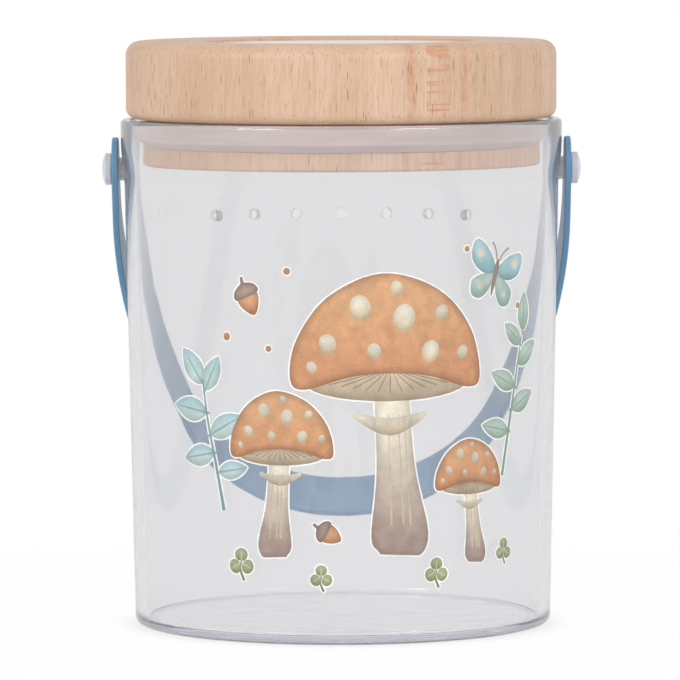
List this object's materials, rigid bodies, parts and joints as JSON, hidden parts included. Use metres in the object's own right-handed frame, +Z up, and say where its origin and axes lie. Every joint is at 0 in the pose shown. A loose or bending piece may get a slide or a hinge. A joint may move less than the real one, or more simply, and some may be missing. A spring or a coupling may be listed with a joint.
{
  "type": "bug catcher jar",
  "caption": "Clear bug catcher jar with a turned beech lid, magnifying lens, rubber seal, air holes and a blue carrying strap that swings on two pins.",
  "frame": {"origin": "on the jar's axis, at the surface that the jar stands on", "axes": "+Z up along the jar's axis, -Y to the front with the picture, the strap hangs at +Y, pivots on the X axis's two sides"},
  "size_m": [0.1106, 0.1118, 0.135],
  "materials": {
    "clear_plastic": "clear moulded styrene, glossy",
    "beech": "turned and sanded beech, bare or thinly oiled",
    "seal_rubber": "translucent mauve-grey silicone",
    "lens_acrylic": "clear polished acrylic",
    "strap_plastic": "satin moulded polypropylene, grey-blue",
    "pin_plastic": "pale translucent moulded plastic"
  },
  "bodies": {
    "jar": {"jar_body": "clear_plastic", "pivot_pin_left": "pin_plastic", "pivot_pin_right": "pin_plastic"},
    "lid": {"lid_block": "beech", "lid_seal": "seal_rubber", "magnifier_lens": "lens_acrylic"},
    "handle": {"handle_strap": "strap_plastic"}
  },
  "joints": [
    {"name": "lid_lift", "type": "slide", "parent": "jar", "child": "lid", "axis": [0, 0, 1], "range_m": [0, 0.06]},
    {"name": "handle_swing", "type": "hinge", "parent": "jar", "child": "handle", "pos_m": [0, 0, 0.1054], "axis": [1, 0, 0], "range_deg": [0, 292.1]}
  ]
}
